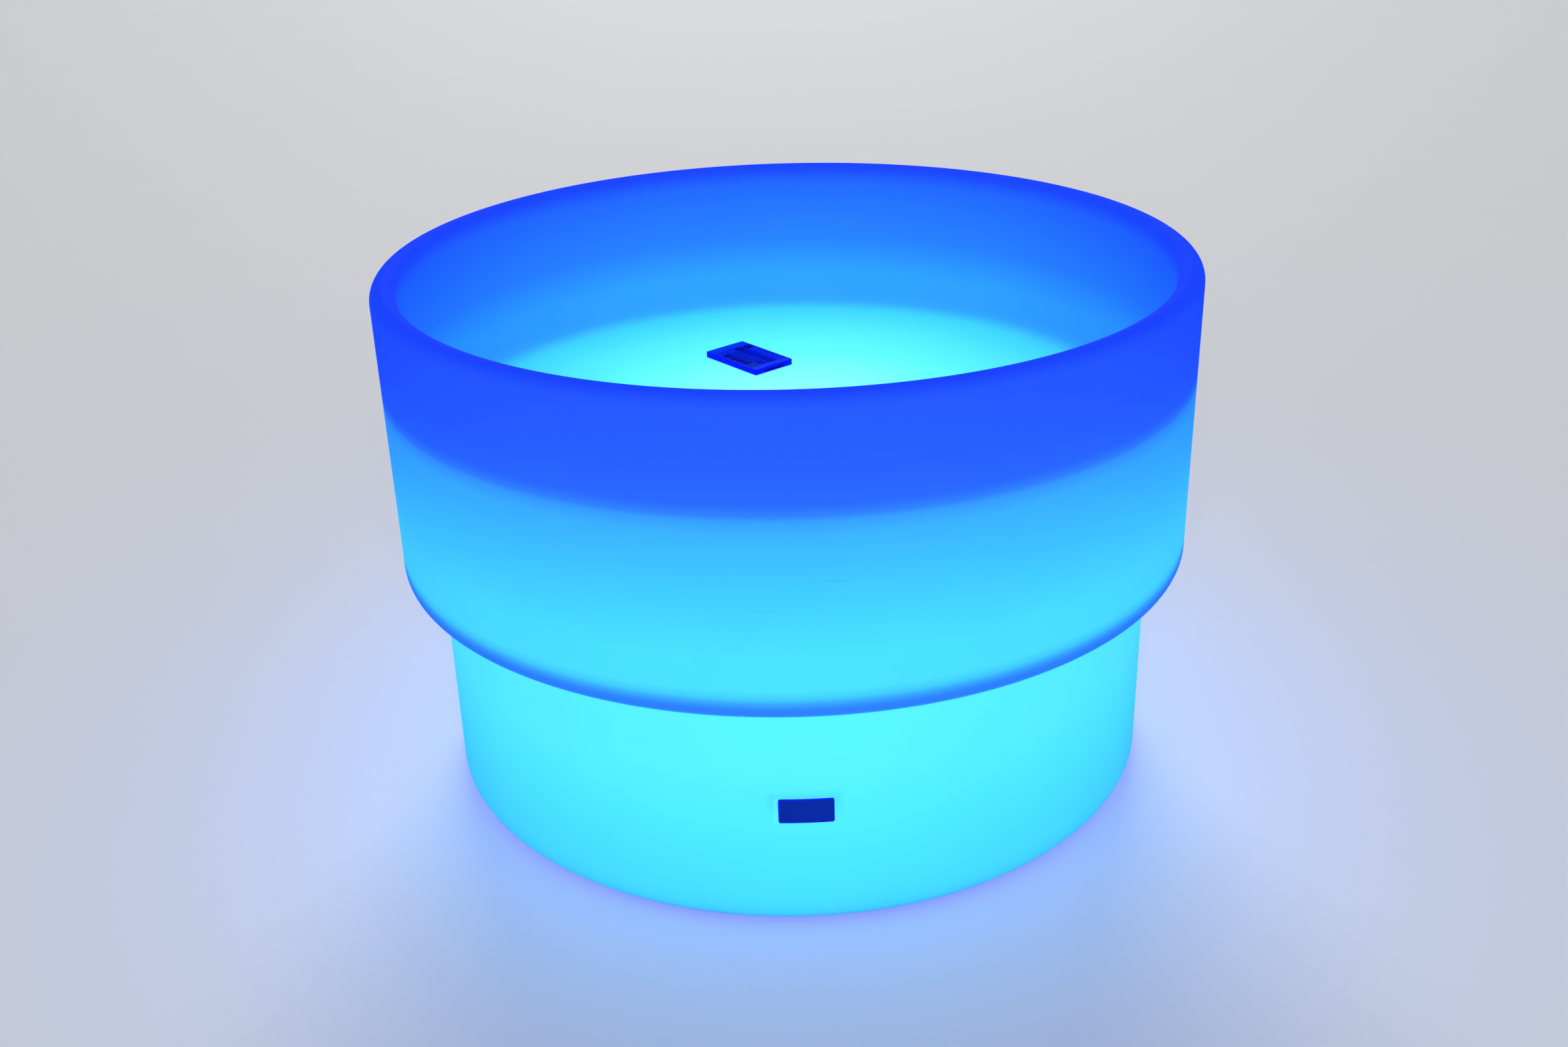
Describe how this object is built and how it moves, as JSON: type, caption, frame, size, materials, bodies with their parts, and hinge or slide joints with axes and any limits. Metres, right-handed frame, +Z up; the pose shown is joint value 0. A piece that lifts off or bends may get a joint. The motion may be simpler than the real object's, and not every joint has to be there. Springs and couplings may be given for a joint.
{
  "type": "light up led table",
  "caption": "Round light-up side table: hollow moulded drum with a deep bowl top on a narrower drum base, lit from inside, with a card remote in the bowl.",
  "frame": {"origin": "on the floor under the table's centre", "axes": "+Z up; -Y towards the picture's viewer, the side with the plate; +X to the viewer's right"},
  "size_m": [0.8, 0.8, 0.53],
  "materials": {
    "glow_shell": "matt translucent moulded plastic, lit from inside in cyan blue",
    "blue_plate": "satin, bare",
    "black_rubber": "matt",
    "white_housing": "fine matt grain",
    "screw_steel": "bright zinc plate",
    "grey_seal": "matt",
    "opal_cover": "opal, lit from inside",
    "sink_aluminium": "plain",
    "white_board": "white solder resist",
    "black_lens": "dark clear lens",
    "blue_wrap": "shrink wrap",
    "green_board": "green solder resist",
    "grey_button": "matt",
    "black_plastic": "matt",
    "red_lead": "satin sleeve",
    "black_lead": "satin sleeve",
    "remote_white": "satin, white under blue light",
    "cell_steel": "bright",
    "key_pale": "matt silicone",
    "key_black": "matt silicone",
    "key_signal_red": "matt silicone",
    "key_red": "matt silicone",
    "key_green": "matt silicone",
    "key_blue": "matt silicone",
    "key_white": "matt silicone",
    "key_orange": "matt silicone",
    "key_light_green": "matt silicone",
    "key_azure": "matt silicone",
    "key_amber": "matt silicone",
    "key_turquoise": "matt silicone",
    "key_indigo": "matt silicone",
    "key_gold": "matt silicone",
    "key_cyan": "matt silicone",
    "key_purple": "matt silicone",
    "key_yellow": "matt silicone",
    "key_sky": "matt silicone",
    "key_pink": "matt silicone"
  },
  "bodies": {
    "table": {"tub_shell": "glow_shell", "label_plate": "blue_plate", "foot_pad_1": "black_rubber", "foot_pad_2": "black_rubber", "foot_pad_3": "black_rubber", "foot_pad_4": "black_rubber", "light_housing": "white_housing", "flange_gasket": "black_rubber", "flange_screw_1": "screw_steel", "flange_screw_2": "screw_steel", "flange_screw_3": "screw_steel", "flange_screw_4": "screw_steel", "flange_screw_5": "screw_steel", "flange_screw_6": "screw_steel", "dome_seal": "grey_seal", "light_dome": "opal_cover", "heat_sink": "sink_aluminium", "led_board": "white_board", "ir_receiver": "black_lens", "battery_pack": "blue_wrap", "battery_bracket": "sink_aluminium", "bracket_screw_1": "screw_steel", "bracket_screw_2": "screw_steel", "control_board": "green_board", "charging_socket": "black_plastic", "battery_lead": "red_lead", "led_lead": "black_lead"},
    "power_button": {"power_button": "grey_button"},
    "socket_cap": {"socket_cap": "black_rubber"},
    "remote": {"remote_bottom_case": "remote_white", "remote_top_case": "remote_white", "remote_board": "green_board", "remote_ir_led": "black_lens"},
    "coin_tray": {"coin_tray": "remote_white", "coin_cell": "cell_steel"},
    "key_brighter": {"key_brighter": "key_pale"},
    "key_dimmer": {"key_dimmer": "key_pale"},
    "key_off": {"key_off": "key_black"},
    "key_on": {"key_on": "key_signal_red"},
    "key_red": {"key_red": "key_red"},
    "key_green": {"key_green": "key_green"},
    "key_blue": {"key_blue": "key_blue"},
    "key_white": {"key_white": "key_white"},
    "key_orange": {"key_orange": "key_orange"},
    "key_light_green": {"key_light_green": "key_light_green"},
    "key_azure": {"key_azure": "key_azure"},
    "key_flash": {"key_flash": "key_pale"},
    "key_amber": {"key_amber": "key_amber"},
    "key_turquoise": {"key_turquoise": "key_turquoise"},
    "key_indigo": {"key_indigo": "key_indigo"},
    "key_strobe": {"key_strobe": "key_pale"},
    "key_gold": {"key_gold": "key_gold"},
    "key_cyan": {"key_cyan": "key_cyan"},
    "key_purple": {"key_purple": "key_purple"},
    "key_fade": {"key_fade": "key_pale"},
    "key_yellow": {"key_yellow": "key_yellow"},
    "key_sky": {"key_sky": "key_sky"},
    "key_pink": {"key_pink": "key_pink"},
    "key_smooth": {"key_smooth": "key_pale"}
  },
  "joints": [
    {"name": "remote_lift", "type": "slide", "parent": "table", "child": "remote", "axis": [0, 0, 1], "range_m": [0, 0.2]},
    {"name": "coin_tray_slide", "type": "slide", "parent": "remote", "child": "coin_tray", "axis": [0.6464, -0.763, 0], "range_m": [0, 0.027]},
    {"name": "power_button_press", "type": "slide", "parent": "table", "child": "power_button", "axis": [0, 0, 1], "range_m": [0, 0.0015], "stiffness_N_per_m": 1500, "springref_m": -0.0005},
    {"name": "socket_cap_pull", "type": "slide", "parent": "table", "child": "socket_cap", "axis": [0, 0, -1], "range_m": [0, 0.012]},
    {"name": "key_brighter_press", "type": "slide", "parent": "remote", "child": "key_brighter", "axis": [0, 0, -1], "range_m": [0, 0.0003], "stiffness_N_per_m": 2000},
    {"name": "key_dimmer_press", "type": "slide", "parent": "remote", "child": "key_dimmer", "axis": [0, 0, -1], "range_m": [0, 0.0003], "stiffness_N_per_m": 2000},
    {"name": "key_off_press", "type": "slide", "parent": "remote", "child": "key_off", "axis": [0, 0, -1], "range_m": [0, 0.0003], "stiffness_N_per_m": 2000},
    {"name": "key_on_press", "type": "slide", "parent": "remote", "child": "key_on", "axis": [0, 0, -1], "range_m": [0, 0.0003], "stiffness_N_per_m": 2000},
    {"name": "key_red_press", "type": "slide", "parent": "remote", "child": "key_red", "axis": [0, 0, -1], "range_m": [0, 0.0003], "stiffness_N_per_m": 2000},
    {"name": "key_green_press", "type": "slide", "parent": "remote", "child": "key_green", "axis": [0, 0, -1], "range_m": [0, 0.0003], "stiffness_N_per_m": 2000},
    {"name": "key_blue_press", "type": "slide", "parent": "remote", "child": "key_blue", "axis": [0, 0, -1], "range_m": [0, 0.0003], "stiffness_N_per_m": 2000},
    {"name": "key_white_press", "type": "slide", "parent": "remote", "child": "key_white", "axis": [0, 0, -1], "range_m": [0, 0.0003], "stiffness_N_per_m": 2000},
    {"name": "key_orange_press", "type": "slide", "parent": "remote", "child": "key_orange", "axis": [0, 0, -1], "range_m": [0, 0.0003], "stiffness_N_per_m": 2000},
    {"name": "key_light_green_press", "type": "slide", "parent": "remote", "child": "key_light_green", "axis": [0, 0, -1], "range_m": [0, 0.0003], "stiffness_N_per_m": 2000},
    {"name": "key_azure_press", "type": "slide", "parent": "remote", "child": "key_azure", "axis": [0, 0, -1], "range_m": [0, 0.0003], "stiffness_N_per_m": 2000},
    {"name": "key_flash_press", "type": "slide", "parent": "remote", "child": "key_flash", "axis": [0, 0, -1], "range_m": [0, 0.0003], "stiffness_N_per_m": 2000},
    {"name": "key_amber_press", "type": "slide", "parent": "remote", "child": "key_amber", "axis": [0, 0, -1], "range_m": [0, 0.0003], "stiffness_N_per_m": 2000},
    {"name": "key_turquoise_press", "type": "slide", "parent": "remote", "child": "key_turquoise", "axis": [0, 0, -1], "range_m": [0, 0.0003], "stiffness_N_per_m": 2000},
    {"name": "key_indigo_press", "type": "slide", "parent": "remote", "child": "key_indigo", "axis": [0, 0, -1], "range_m": [0, 0.0003], "stiffness_N_per_m": 2000},
    {"name": "key_strobe_press", "type": "slide", "parent": "remote", "child": "key_strobe", "axis": [0, 0, -1], "range_m": [0, 0.0003], "stiffness_N_per_m": 2000},
    {"name": "key_gold_press", "type": "slide", "parent": "remote", "child": "key_gold", "axis": [0, 0, -1], "range_m": [0, 0.0003], "stiffness_N_per_m": 2000},
    {"name": "key_cyan_press", "type": "slide", "parent": "remote", "child": "key_cyan", "axis": [0, 0, -1], "range_m": [0, 0.0003], "stiffness_N_per_m": 2000},
    {"name": "key_purple_press", "type": "slide", "parent": "remote", "child": "key_purple", "axis": [0, 0, -1], "range_m": [0, 0.0003], "stiffness_N_per_m": 2000},
    {"name": "key_fade_press", "type": "slide", "parent": "remote", "child": "key_fade", "axis": [0, 0, -1], "range_m": [0, 0.0003], "stiffness_N_per_m": 2000},
    {"name": "key_yellow_press", "type": "slide", "parent": "remote", "child": "key_yellow", "axis": [0, 0, -1], "range_m": [0, 0.0003], "stiffness_N_per_m": 2000},
    {"name": "key_sky_press", "type": "slide", "parent": "remote", "child": "key_sky", "axis": [0, 0, -1], "range_m": [0, 0.0003], "stiffness_N_per_m": 2000},
    {"name": "key_pink_press", "type": "slide", "parent": "remote", "child": "key_pink", "axis": [0, 0, -1], "range_m": [0, 0.0003], "stiffness_N_per_m": 2000},
    {"name": "key_smooth_press", "type": "slide", "parent": "remote", "child": "key_smooth", "axis": [0, 0, -1], "range_m": [0, 0.0003], "stiffness_N_per_m": 2000}
  ]
}
